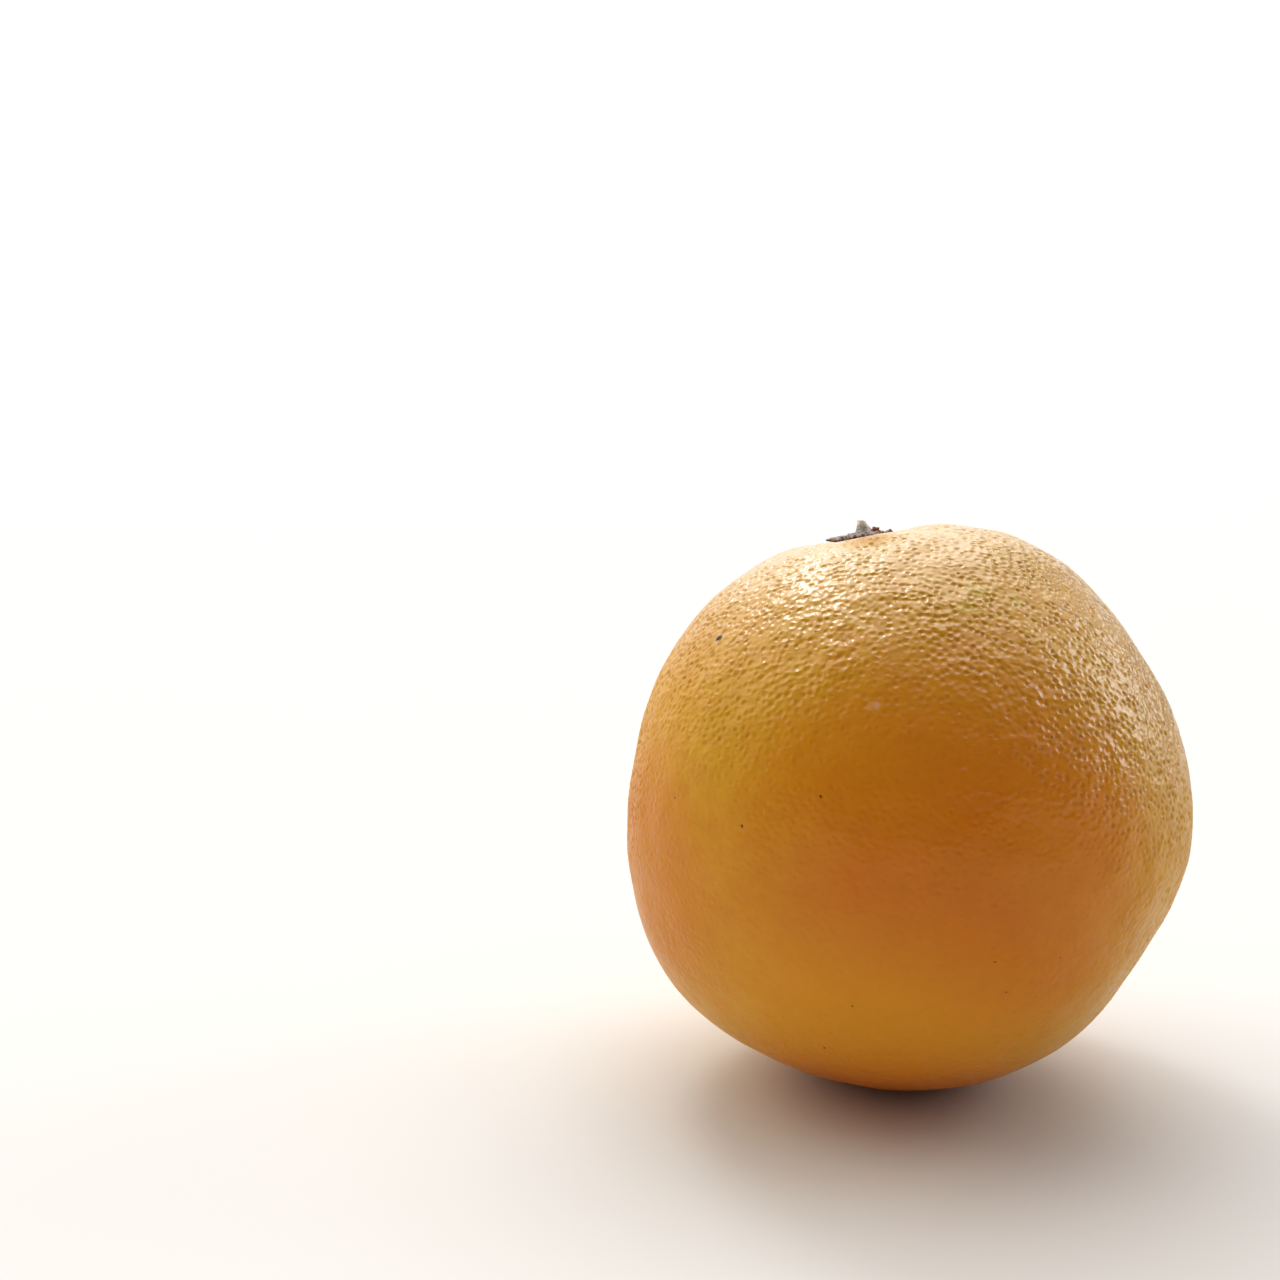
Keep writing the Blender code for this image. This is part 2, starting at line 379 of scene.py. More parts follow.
@dataclass(frozen=True)
class WaxedPeel:
    """Orange peel as packed: thin shipping wax over oil glands, satin with small wet-looking glints.

    Each size is a real one on a large orange, apart from the grain's. The skin's own cells are about a
    hundredth of a millimetre across, too fine to show, so the grain is drawn as coarse as it needs to show.
    A span gives the two readings between which a finish comes in, and a side where it is strongest.
    """

    # Colour: a golden rind, blotched, and deeper in each pit by the pit's depth, with one cheek of full
    # orange
    golden: str = "#D8A01B"
    orange: str = "#D67706"
    # The orange cheek faces the dim front: partly the rind's own tone, partly painted shade there
    shaded_cheek_side: Vector = direction(-80, -2)
    shaded_cheek_span: tuple[float, float] = (0.6, 1.0)
    tone_size: float = 22.0 * MM
    tone_drift: float = 0.5
    deep: str = "#C66A06"
    fine_tone_size: float = 2.6 * MM
    fine_tone_span: tuple[float, float] = (0.35, 0.75)
    fine_tone: float = 0.22
    # Deeper orange inside each pit, the more the deeper the pit
    pit_colour: str = "#B86204"
    speck: str = "#5A3208"
    speck_gap: float = 5.0 * MM
    speck_span: tuple[float, float] = (0.045, 0.02)
    speck_strength: float = 0.8
    mark_core: float = 0.35
    mark_wobble: float = 0.9 * MM

    # Gloss: a satin rind, and wax that lies thickest round the top and is rubbed off beside the calyx
    roughness: tuple[float, float] = (0.30, 0.42)
    roughness_span: tuple[float, float] = (0.3, 0.7)
    ior: float = 1.42
    specular: float = 0.3
    shiny_side: Vector = direction(-10, 74)
    wax_span: tuple[float, float] = (0.25, 0.65)
    wax: float = 0.76
    wax_roughness: float = 0.09
    wax_ior: float = 1.5
    dull_spot: tuple[float, float] = (-115.0, 75.0)
    dull_span: tuple[float, float] = (1.56 * MM, 5.2 * MM)
    rind_glow: float = 0.15
    rind_glow_depth: float = 2.0 * MM
    rind_glow_colour: tuple[float, float, float] = (1.0, 0.35, 0.08)

    # Relief finer than the mesh: pebbles in patches and short rows, crinkles between them and a grain
    pebble_size: float = 1.5 * MM
    pebble_height: float = 0.42 * MM
    pebble_rows: tuple[float, float, float] = (0.85, 0.85, 1.3)
    patch_size: float = 5.0 * MM
    patch_span: tuple[float, float] = (0.35, 0.65)
    patch_strength: tuple[float, float] = (0.45, 1.35)
    crinkle_size: float = 3.0 * MM
    crinkle_bend: float = 0.8
    crinkle_width: float = 0.16
    crinkle_height: float = 0.05 * MM
    grain_size: float = 0.30 * MM
    grain_height: float = 0.006 * MM

    marks: tuple[Mark, ...] = (
        # The yellower stem end, and painted shade as a deeper yellow in the groove in front of the calyx
        Mark(azimuth=168, elevation=80.8, radius=38 * MM, colour="#D0A21C", strength=0.6),
        Mark(azimuth=168, elevation=80.8, radius=11 * MM, colour="#CFA918", strength=0.6),
        Mark(azimuth=-115, elevation=74.6, radius=3.6 * MM, colour="#C88C04"),
        # Three tinges that stayed yellow-green
        Mark(azimuth=-67, elevation=54, radius=2.3 * MM, colour="#CDB01C", strength=0.5),
        Mark(azimuth=-56, elevation=51, radius=1.8 * MM, colour="#CDB01C", strength=0.45),
        Mark(azimuth=-72, elevation=50, radius=2.1 * MM, colour="#CDB01C", strength=0.45),
        # Broad tones: a pale low cheek, which is painted light from the floor below, and a ruddy underside
        Mark(azimuth=-97, elevation=-44, radius=32 * MM, colour="#E2981E", strength=0.75),
        Mark(azimuth=-90, elevation=-72, radius=30 * MM, colour="#DE780C", strength=0.8),
        # An orange back, and an orange left side, a painted reflection of orange light from that side
        Mark(azimuth=90, elevation=-5, radius=50 * MM, colour="#DA840E", strength=0.65),
        Mark(azimuth=-149, elevation=-10, radius=26 * MM, colour="#D27A0C", strength=0.7),
        # The pale rim of the scab, a healed rub in two parts, and three dark dots
        Mark(azimuth=-141.5, elevation=39.6, radius=1.3 * MM, colour="#D8B070", strength=0.7),
        Mark(azimuth=-94.8, elevation=28.8, radius=0.75 * MM, colour="#E6B084", strength=0.6),
        Mark(azimuth=-96.2, elevation=28.5, radius=0.65 * MM, colour="#E0A470", strength=0.5),
        Mark(azimuth=-103.7, elevation=12.3, radius=0.32 * MM, colour="#3A1A06"),
        Mark(azimuth=-118.9, elevation=5.1, radius=0.28 * MM, colour="#4A2808"),
        Mark(azimuth=-107.2, elevation=-41.3, radius=0.36 * MM, colour="#3A1A06"),
    )


@dataclass
class Peel:
    """The peel: one pit over each of the rind's oil glands, about 1.2 mm apart, and soft pebbles between the
    pits.
    """

    form: FruitForm
    finish: WaxedPeel = WaxedPeel()
    pits: int = 16000
    seed: int = 7
    shake: float = 0.32
    easings: int = 2
    neighbours: int = 6
    push: float = 0.25
    pit_depth: tuple[float, float] = (0.03 * MM, 0.24 * MM)
    pit_radius: tuple[float, float] = (0.54 * MM, 0.80 * MM)
    depth_draw: tuple[float, float] = (0.15, 0.85)
    deeper_patches: Crumple = Crumple(height=0.45, length=0.32, seed=5.0)
    pebble_height: float = 0.05 * MM
    ripples: tuple[Crumple, ...] = (
        Crumple(height=0.07 * MM, length=5.5 * MM),
        Crumple(height=0.035 * MM, length=2.365 * MM),
    )
    smooth_side: Vector = field(default_factory=lambda: direction(-100, -30))
    smooth_reach: tuple[float, float] = (44.0, 77.0)
    smooth_edge: Crumple = Crumple(height=16.0, length=0.40, seed=2.0)
    faint: float = 0.27
    calm: float = 0.5
    calm_reach: float = 17.0
    flat_reach: float = 11.0

    def relief(self, ways: np.ndarray) -> np.ndarray:
        """Give the relief's strength: faint on one smooth cheek, calm by the calyx, none on the flat spot.

        Args:
            ways: unit vectors from the fruit's centre, one in each row.

        Returns:
            The strength along each, from 0 to 1.
        """
        from_cheek = self.form.angles(ways, self.smooth_side) + self.smooth_edge.at(ways)
        rough = eased(from_cheek, *self.smooth_reach)
        rough *= 1 - self.calm * bell(self.form.angles(ways, self.form.stem_axis), self.calm_reach)
        worn = bell(self.form.angles(ways, Vector((0, 0, -1))), self.flat_reach)
        return (self.faint + (1 - self.faint) * rough) * (1 - worn)

    def pit_ways(self) -> list[Vector]:
        """Spread the pits: a golden spiral, shaken well, then eased apart so that none crowd.

        Returns:
            A unit vector to each pit.
        """
        draw = random.Random(self.seed)
        golden = math.pi * (3 - math.sqrt(5))
        pitch = math.sqrt(4 * math.pi / self.pits)
        ways = []
        for index in range(self.pits):
            height = 1 - 2 * (index + 0.5) / self.pits
            flat = math.sqrt(1 - height**2)
            way = Vector((flat * math.cos(index * golden), flat * math.sin(index * golden), height))
            way += Vector([draw.gauss(0, self.shake * pitch) for _ in range(3)])
            ways.append(way.normalized())
        for _ in range(self.easings):
            tree = kdtree.KDTree(len(ways))
            for index, way in enumerate(ways):
                tree.insert(way, index)
            tree.balance()
            parted = []
            for way in ways:
                push = Vector()
                for near, _, gap in tree.find_n(way, self.neighbours):
                    if 0 < gap < pitch:
                        push += (way - near) * (pitch / gap - 1)
                parted.append((way + push * self.push).normalized())
            ways = parted
        return ways

    def build(self) -> bpy.types.Object:
        """Build the peel: a hull through the pits, with each pit's own ring of facets round it.

        Returns:
            The peel's object, with each facet's pit kept in its attributes.
        """
        shape = bmesh.new()
        for way in self.pit_ways():
            bmesh.ops.create_vert(shape, co=way)
        bmesh.ops.convex_hull(shape, input=shape.verts)
        between_pits = list(shape.edges)
        bmesh.ops.poke(shape, faces=shape.faces)
        bmesh.ops.subdivide_edges(shape, edges=between_pits, cuts=1)
        shape.verts.ensure_lookup_table()
        bmesh.ops.connect_verts(shape, verts=shape.verts[self.pits:])
        peel = new_object("orange_peel", shape)
        self.sink_pits(peel.data)
        return peel

    def sink_pits(self, mesh: bpy.types.Mesh) -> None:
        """Carry the unit ball's points out to the peel, sink the pits and keep each facet's place in its pit.

        Args:
            mesh: the unit ball. Its first points are the pits, then come the middles between three pits.
        """
        points = np.empty(len(mesh.vertices) * 3)
        mesh.vertices.foreach_get("co", points)
        points = points.reshape(-1, 3)
        ways = points / np.linalg.norm(points, axis=1)[:, None]
        smooth = ways * self.form.radii(ways)[:, None]

        draw = np.random.default_rng(self.seed)
        relief = self.relief(ways)
        share = draw.uniform(*self.depth_draw, self.pits) + self.deeper_patches.at(ways[:self.pits])
        shallow, deep = self.pit_depth
        depths = (shallow + np.clip(share, 0, 1) * (deep - shallow)) * relief[:self.pits]
        radii = draw.uniform(*self.pit_radius, self.pits)

        # A closed hull of triangles has four fewer faces than twice its points, and each face has one middle
        faces = 2 * self.pits - 4
        middles = slice(self.pits, self.pits + faces)
        height = np.zeros(len(ways))
        height[:self.pits] = -depths
        height[middles] = draw.uniform(0, self.pebble_height, faces) * relief[middles]
        height += crumpled(ways * self.form.radius, self.ripples) * relief
        points = smooth + ways * height[:, None] + np.array(self.form.centre)
        points[:, 2] = np.maximum(points[:, 2], 0)
        mesh.vertices.foreach_set("co", points.ravel())

        corners = np.empty(len(mesh.loops), dtype=np.int32)
        mesh.loops.foreach_get("vertex_index", corners)
        pit_of_face = corners.reshape(-1, 3).min(axis=1)
        offsets = (smooth[corners] - smooth[np.repeat(pit_of_face, 3)]) / MM
        mesh.attributes.new("relief", "FLOAT", "POINT").data.foreach_set("value", relief)
        mesh.attributes.new("from_pit", "FLOAT_VECTOR", "CORNER").data.foreach_set("vector", offsets.ravel())
        for name, sizes in (("pit_depth", depths), ("pit_radius", radii)):
            mesh.attributes.new(name, "FLOAT", "FACE").data.foreach_set("value", sizes[pit_of_face] / MM)
        mesh.update()

    def dress(self, peel: bpy.types.Object) -> None:
        """Give the peel its waxed finish.

        Args:
            peel: the peel's object.
        """
        look = self.finish
        material, tree, shader = new_material("waxed_orange_peel")
        node = partial(add_node, tree)
        place = node("TexCoord", output="Object")
        wobble = node("TexNoise", {"Vector": place, "Scale": 1 / look.mark_wobble, "Detail": 2.0}, 1)
        wobble = node("VectorMath", {0: wobble, "Scale": look.mark_wobble}, operation="SCALE")
        wobbled = node("VectorMath", {0: place, 1: wobble}, operation="ADD")
        offset = node("Attribute", output="Vector", attribute_name="from_pit")
        depth = node("Attribute", output="Fac", attribute_name="pit_depth")
        radius = node("Attribute", output="Fac", attribute_name="pit_radius")
        distance = node("VectorMath", {0: offset}, "Value", operation="LENGTH")
        spread = node("Math", {0: distance, 1: radius}, operation="DIVIDE")
        in_pit = node("MapRange", {0: spread, 3: 1.0, 4: 0.0}, interpolation_type="SMOOTHSTEP")
        dent = node("Math", {0: in_pit, 1: depth}, operation="MULTIPLY")

        bump = self.bump(node, place, dent)
        linked = {
            "Base Color": self.colour(node, place, wobbled, dent),
            "Roughness": self.roughness(node, place),
            "Coat Weight": self.wax(node, place, wobbled),
            "Normal": bump,
            "Coat Normal": bump,
        }
        for name, socket in linked.items():
            tree.links.new(socket, shader.inputs[name])
        settings = {
            "IOR": look.ior,
            "Specular IOR Level": look.specular,
            "Subsurface Weight": look.rind_glow,
            "Subsurface Radius": look.rind_glow_colour,
            "Subsurface Scale": look.rind_glow_depth,
            "Coat Roughness": look.wax_roughness,
            "Coat IOR": look.wax_ior,
        }
        for name, value in settings.items():
            shader.inputs[name].default_value = value
        peel.data.materials.append(material)

    def colour(self, node: Adder, place: Socket, wobbled: Socket, dent: Socket) -> Socket:
        """Colour the rind: a cheek partly of painted shade, blotches, deeper pits, marks and specks.

        Args:
            node: adds a node to the material.
            place: the place on the peel.
            wobbled: the same place shifted to and fro, so that the blemishes get uneven edges.
            dent: how deep the pit is there, in millimetres.

        Returns:
            The colour.
        """
        look = self.finish
        # Painted shade in part: the cheek of full orange lies on the dim front
        middle = self.form.centre.dot(look.shaded_cheek_side)
        low, high = (middle + share * self.form.radius for share in look.shaded_cheek_span)
        along = node("VectorMath", {0: place, 1: look.shaded_cheek_side}, "Value", operation="DOT_PRODUCT")
        cheek = node("MapRange", {0: along, 1: low, 2: high}, interpolation_type="SMOOTHSTEP")
        drift = node("TexNoise", {"Vector": place, "Scale": 1 / look.tone_size, "Detail": 3.0})
        even = -look.tone_drift / 2
        drift = node("Math", {0: drift, 1: look.tone_drift, 2: even}, operation="MULTIPLY_ADD")
        tone = node("Math", {0: cheek, 1: drift}, operation="ADD", use_clamp=True)
        low, high = look.fine_tone_span
        fine = node("TexNoise", {"Vector": place, "Scale": 1 / look.fine_tone_size, "Detail": 3.0})
        fade = {0: fine, 1: low, 2: high, 4: look.fine_tone}
        fine = node("MapRange", fade, interpolation_type="SMOOTHSTEP")
        layers = [(tone, look.orange), (fine, look.deep), (dent, look.pit_colour)]

        # The wobble shifts a place by half its size on average, so each spot moves along with it
        half = Vector((0.5, 0.5, 0.5)) * look.mark_wobble
        for mark in look.marks:
            spot = self.form.on_peel(mark.azimuth, mark.elevation) + half
            gap = node("VectorMath", {0: wobbled, 1: spot}, "Value", operation="DISTANCE")
            fade = {0: gap, 1: mark.radius, 2: look.mark_core * mark.radius, 4: mark.strength}
            layers.append((node("MapRange", fade, interpolation_type="SMOOTHSTEP"), mark.colour))
        edge, core = look.speck_span
        speck = node("TexVoronoi", {"Vector": place, "Scale": 1 / look.speck_gap})
        fade = {0: speck, 1: edge, 2: core, 4: look.speck_strength}
        layers.append((node("MapRange", fade, interpolation_type="SMOOTHSTEP"), look.speck))

        colour = srgb(look.golden)
        for share, layer in layers:
            colour = node("Mix", {0: share, 6: colour, 7: srgb(layer)}, 2, data_type="RGBA")
        return colour

    def roughness(self, node: Adder, place: Socket) -> Socket:
        """Give the rind's roughness, which drifts from pebble to pebble.

        Args:
            node: adds a node to the material.
            place: the place on the peel.

        Returns:
            The roughness.
        """
        look = self.finish
        low, high = look.roughness_span
        satin, dull = look.roughness
        rough = node("TexNoise", {"Vector": place, "Scale": 1 / look.pebble_size, "Detail": 2.0})
        return node("MapRange", {0: rough, 1: low, 2: high, 3: satin, 4: dull})

    def wax(self, node: Adder, place: Socket, wobbled: Socket) -> Socket:
        """Give how much wax there is: most round the top, and none on the rubbed spot.

        Args:
            node: adds a node to the material.
            place: the place on the peel.
            wobbled: the same place shifted to and fro, so that the rubbed spot gets an uneven edge.

        Returns:
            The amount, from 0 to 1.
        """
        look = self.finish
        middle = self.form.centre.dot(look.shiny_side)
        low, high = (middle + share * self.form.radius for share in look.wax_span)
        above = node("VectorMath", {0: place, 1: look.shiny_side}, "Value", operation="DOT_PRODUCT")
        wax = node("MapRange", {0: above, 1: low, 2: high, 4: look.wax})
        near, far = look.dull_span
        spot = self.form.on_peel(*look.dull_spot)
        away = node("VectorMath", {0: wobbled, 1: spot}, "Value", operation="DISTANCE")
        kept = node("MapRange", {0: away, 1: near, 2: far}, interpolation_type="SMOOTHSTEP")
        return node("Math", {0: wax, 1: kept}, operation="MULTIPLY")

    def bump(self, node: Adder, place: Socket, dent: Socket) -> Socket:
        """Give the relief finer than the mesh: round dents of the pits, pebbles, crinkles and a grain.

        Args:
            node: adds a node to the material.
            place: the place on the peel.
            dent: how deep the pit is there, in millimetres.

        Returns:
            The normal.
        """
        look = self.finish
        low, high = look.patch_span
        soft, strong = look.patch_strength
        patch = node("TexNoise", {"Vector": place, "Scale": 1 / look.patch_size, "Detail": 1.0})
        patch = node("MapRange", {0: patch, 1: low, 2: high, 3: soft, 4: strong})
        relief = node("Attribute", output="Fac", attribute_name="relief")
        relief = node("Math", {0: relief, 1: patch}, operation="MULTIPLY")
        rows = node("VectorMath", {0: place, 1: look.pebble_rows}, operation="MULTIPLY")
        pebble = node("TexNoise", {"Vector": rows, "Scale": 1 / look.pebble_size, "Detail": 1.0})
        pebble = node("Math", {0: pebble, 1: relief}, operation="MULTIPLY")
        bent = {
            "Vector": place,
            "Scale": 1 / look.crinkle_size,
            "Detail": 1.0,
            "Distortion": look.crinkle_bend,
        }
        crinkle = node("TexNoise", bent)
        crinkle = node("Math", {0: crinkle, 1: 0.5}, operation="SUBTRACT")
        crinkle = node("Math", {0: crinkle}, operation="ABSOLUTE")
        ridge = {0: crinkle, 2: look.crinkle_width, 3: 1.0, 4: 0.0}
        crinkle = node("MapRange", ridge, interpolation_type="SMOOTHSTEP")
        crinkle = node("Math", {0: crinkle, 1: relief}, operation="MULTIPLY")
        grain = node("TexNoise", {"Vector": place, "Scale": 1 / look.grain_size, "Detail": 2.0})
        height = node("Math", {0: grain, 1: look.grain_height}, operation="MULTIPLY")
        for share, size in ((dent, -MM), (pebble, look.pebble_height), (crinkle, look.crinkle_height)):
            height = node("Math", {0: share, 1: size, 2: height}, operation="MULTIPLY_ADD")
        return node("Bump", {"Height": height, "Strength": 1.0, "Distance": 1.0})


class Edge(Enum):
    """How a sepal of the dry calyx has ended up."""

    WHOLE = "whole"
    CURLED = "curled"
    TORN = "torn"


@dataclass(frozen=True)
class Sepal:
    """One of the star's five lobes. Its lift is how far its tip stands off the peel."""

    reach: float
    lift: float
    edge: Edge


@dataclass(frozen=True)
class DryTissue:
    """Plant tissue that dried on the tree: shrivelled and matt, pale where it weathered, raw where it tore.

    The fibres of the real tissue are under a tenth of a millimetre across, too fine to show, so the creases
    are drawn as coarse as they need to show, and darkened with painted shade.
    """

    bark: str
    worn: str
    dark: str
    torn: str
    crease_size: float
    crease_height: float
    roughness: tuple[float, float]
    crease_span: tuple[float, float] = (0.53, 0.34)
    roughness_span: tuple[float, float] = (0.3, 0.7)
    patch_size: float = 1.3 * MM
    patch_span: tuple[float, float] = (0.38, 0.66)
    ior: float = 1.45
    specular: float = 0.3


# Grey-brown and faintly purple, with red-brown torn edges
CALYX_TISSUE = DryTissue(
    bark="#9A8C90",
    worn="#D2C9C8",
    dark="#4A3C3C",
    torn="#A2582C",
    crease_size=0.35 * MM,
    crease_height=0.05 * MM,
    roughness=(0.72, 0.95),
)
# Bleached grey-green wood, nearly white where it snapped
STEM_TISSUE = DryTissue(
    bark="#B6BAB4",
    worn="#E6E1D8",
    dark="#5E5A50",
    torn="#F6E8DC",
    crease_size=0.22 * MM,
    crease_height=0.04 * MM,
    roughness=(0.7, 0.95),
)
# Nearly black cork, straw-coloured at its rim
SCAB_TISSUE = DryTissue(
    bark="#5A524C",
    worn="#8A827A",
    dark="#1E1915",
    torn="#C9A878",
    crease_size=0.18 * MM,
    crease_height=0.02 * MM,
    roughness=(0.7, 0.95),
)


def dress_dry(piece: bpy.types.Object, name: str, look: DryTissue) -> None:
    """Give a dry piece its weathered finish, by its "torn" and "hollow" attributes.

    Args:
        piece: the piece's object, whose mesh holds both attributes.
        name: the material's name.
        look: the finish.
    """
    material, tree, shader = new_material(name)
    node = partial(add_node, tree)
    place = node("TexCoord", output="Object")
    low, high = look.patch_span
    patches = node("TexNoise", {"Vector": place, "Scale": 1 / look.patch_size, "Detail": 3.0})
    patches = node("MapRange", {0: patches, 1: low, 2: high}, interpolation_type="SMOOTHSTEP")
    low, high = look.crease_span
    creases = node("TexNoise", {"Vector": place, "Scale": 1 / look.crease_size, "Detail": 4.0})
    crease_shade = node("MapRange", {0: creases, 1: low, 2: high}, interpolation_type="SMOOTHSTEP")
    torn = node("Attribute", output="Fac", attribute_name="torn")
    # Each piece's painted shade, and the scab's darker middle
    hollow = node("Attribute", output="Fac", attribute_name="hollow")
    # Painted shade: darker in the creases, the bump's low places, and in each piece's shaded parts
    layers = ((patches, look.worn), (crease_shade, look.dark), (torn, look.torn), (hollow, look.dark))
    colour = srgb(look.bark)
    for share, layer in layers:
        colour = node("Mix", {0: share, 6: colour, 7: srgb(layer)}, 2, data_type="RGBA")
    tree.links.new(colour, shader.inputs["Base Color"])
    low, high = look.roughness_span
    smooth, rough = look.roughness
    rough = node("MapRange", {0: creases, 1: low, 2: high, 3: smooth, 4: rough})
    tree.links.new(rough, shader.inputs["Roughness"])
    height = node("Math", {0: creases, 1: look.crease_height}, operation="MULTIPLY")
    bump = node("Bump", {"Height": height, "Strength": 1.0, "Distance": 1.0})
    tree.links.new(bump, shader.inputs["Normal"])
    shader.inputs["IOR"].default_value = look.ior
    shader.inputs["Specular IOR Level"].default_value = look.specular
    piece.data.materials.append(material)


def points_of(piece: bpy.types.Object) -> np.ndarray:
    """Give a piece's points.

    Args:
        piece: the piece's object.

    Returns:
        The points, one in each row.
    """
    points = np.empty(len(piece.data.vertices) * 3)
    piece.data.vertices.foreach_get("co", points)
    return points.reshape(-1, 3)


def set_points(piece: bpy.types.Object, points: np.ndarray, **shares: np.ndarray) -> None:
    """Move a piece's points and keep a number from 0 to 1 for each of them under each name.

    Args:
        piece: the piece's object.
        points: the new places, one in each row.
        shares: the numbers, by the attribute's name.
    """
    piece.data.vertices.foreach_set("co", points.ravel())
    for name, share in shares.items():
        piece.data.attributes.new(name, "FLOAT", "POINT").data.foreach_set("value", np.clip(share, 0, 1))
    piece.data.update()


@dataclass
class Calyx:
    """The dry star under the stem: a cupped disc whose rim runs out into five shrivelled sepals.

    Shares are of the disc's radius or height, or of the way from the disc to a sepal's tip.
    """

    form: FruitForm
    finish: DryTissue = CALYX_TISSUE
    lift: float = 0.12 * MM
    disc_radius: float = 2.1 * MM
    disc_height: float = 1.15 * MM
    cup_floor: float = 0.72
    rim_place: float = 0.88
    rim_width: float = 0.5 * MM
    moat_place: float = 0.62
    moat_width: float = 0.28 * MM
    moat_shade: float = 0.9
    blade_start: tuple[float, float] = (0.92, 1.25)
    notch: float = 2.75 * MM
    first_bearing: float = 38.0
    point: float = 0.85
    root: float = 1.0 * MM
    tip: float = 0.6 * MM
    midrib: float = 0.20 * MM
    midrib_width: float = 0.22
    rib_start: float = 0.3
    edge_thinning: float = 0.6
    edge_sharpness: int = 10
    cupping: tuple[float, float] = (0.25 * MM, 0.70 * MM)
    least_skin: tuple[float, float] = (0.03 * MM, 0.16 * MM)
    ragged: tuple[Crumple, ...] = (
        Crumple(height=0.08, length=0.15, seed=3.0),
        Crumple(height=0.04, length=0.05, seed=5.0),
    )
    wrinkles: tuple[Crumple, ...] = (
        Crumple(height=0.20 * MM, length=0.8 * MM, seed=1.0),
        Crumple(height=0.12 * MM, length=0.35 * MM, seed=2.0),
    )
    fine_wrinkles: Crumple = Crumple(height=0.10 * MM, length=0.18 * MM, seed=8.0)
    fine_share: tuple[float, float] = (0.4, 1.0)
    underside_share: float = 0.35
    scraps: Crumple = Crumple(height=0.9, length=1.2 * MM, seed=9.0)
    scraps_middle: float = 0.45
    scraps_share: tuple[float, float] = (0.15, 1.0)
    sepals: tuple[Sepal, ...] = (
        Sepal(reach=3.4 * MM, lift=0.35 * MM, edge=Edge.TORN),
        Sepal(reach=5.1 * MM, lift=0.25 * MM, edge=Edge.WHOLE),
        Sepal(reach=5.4 * MM, lift=0.40 * MM, edge=Edge.WHOLE),
        Sepal(reach=4.3 * MM, lift=0.55 * MM, edge=Edge.CURLED),
        Sepal(reach=3.5 * MM, lift=0.20 * MM, edge=Edge.TORN),
    )
    sides: int = 300
    rings: int = 36

    def build(self) -> bpy.types.Object:
        """Build the star.

        Returns:
            The star's object.
        """
        steps = [float(step) for step in np.linspace(0, 1, self.rings)]
        profile = [(step, 1.0) for step in steps] + [(step, 0.0) for step in steps[::-2]]
        star = new_object("calyx_star", turned(profile + [(0.0, 0.0)], self.sides))
        flat = points_of(star)
        out = np.hypot(flat[:, 0], flat[:, 1])
        bearing = np.degrees(np.arctan2(flat[:, 1], flat[:, 0])) % 360
        around = np.radians(bearing)
        top = flat[:, 2] > 0.5
        rim = np.column_stack([np.cos(around), np.sin(around), np.zeros(len(around))])

        # Which sepal each point is in, and how far it is from that sepal's middle line
        share = 360 / len(self.sepals)
        turn = (bearing - self.first_bearing) % 360
        index = np.round(turn / share).astype(int) % len(self.sepals)
        off_middle = ((turn + share / 2) % share - share / 2) / (share / 2)
        reaches = np.array([sepal.reach for sepal in self.sepals])[index]
        lifts = np.array([sepal.lift for sepal in self.sepals])[index]
        curled = np.array([sepal.edge is Edge.CURLED for sepal in self.sepals])[index]
        torn = np.array([sepal.edge is Edge.TORN for sepal in self.sepals])[index]

        edge = self.notch + (reaches - self.notch) * (1 - np.abs(off_middle)) ** self.point
        reach = out * edge * (1 + crumpled(rim, self.ragged))
        plan = rim[:, :2] * reach[:, None]
        spots = np.column_stack([plan, np.zeros(len(plan))])
        past = np.clip((reach - self.disc_radius) / (reaches.max() - self.disc_radius), 0, 1)
        along_rib = eased(past, 0.0, self.rib_start)

        # The cupped disc runs out into blades with a midrib, which thin towards their edges
        rim_rise = bell(reach - self.rim_place * self.disc_radius, self.rim_width)
        thick = self.disc_height * (self.cup_floor + (1 - self.cup_floor) * rim_rise)
        blade = self.root + (self.tip - self.root) * past
        thick += (blade - thick) * eased(reach / self.disc_radius, *self.blade_start)
        thick += self.midrib * bell(off_middle, self.midrib_width) * along_rib * (1 - past)
        thick *= 1 - self.edge_thinning * out**self.edge_sharpness
        wrinkle = crumpled(spots, self.wrinkles)
        wrinkle += self.fine_wrinkles.at(spots) * np.where(curled, *self.fine_share[::-1])
        cupped = np.where(curled, *self.cupping[::-1]) * off_middle**2 * past

        peel = self.form.peel_heights(plan)
        height = peel + self.lift + lifts * past**2 + cupped
        height += np.where(top, thick + wrinkle, self.underside_share * np.minimum(wrinkle, 0))
        height = np.maximum(height, peel + np.where(top, *self.least_skin[::-1]))
        scraps = self.scraps_middle + self.scraps.at(spots)
        scraps *= np.where(torn, *self.scraps_share[::-1]) * along_rib
        # Painted shade: darker in the moat round the disc, and all over the underside on the peel
        moat = bell(reach - self.moat_place * self.disc_radius, self.moat_width)
        hollow = np.where(top, self.moat_shade * moat, 1.0)
        points = self.form.to_world(np.column_stack([plan, height]))
        set_points(star, points, torn=scraps, hollow=hollow)
        return star


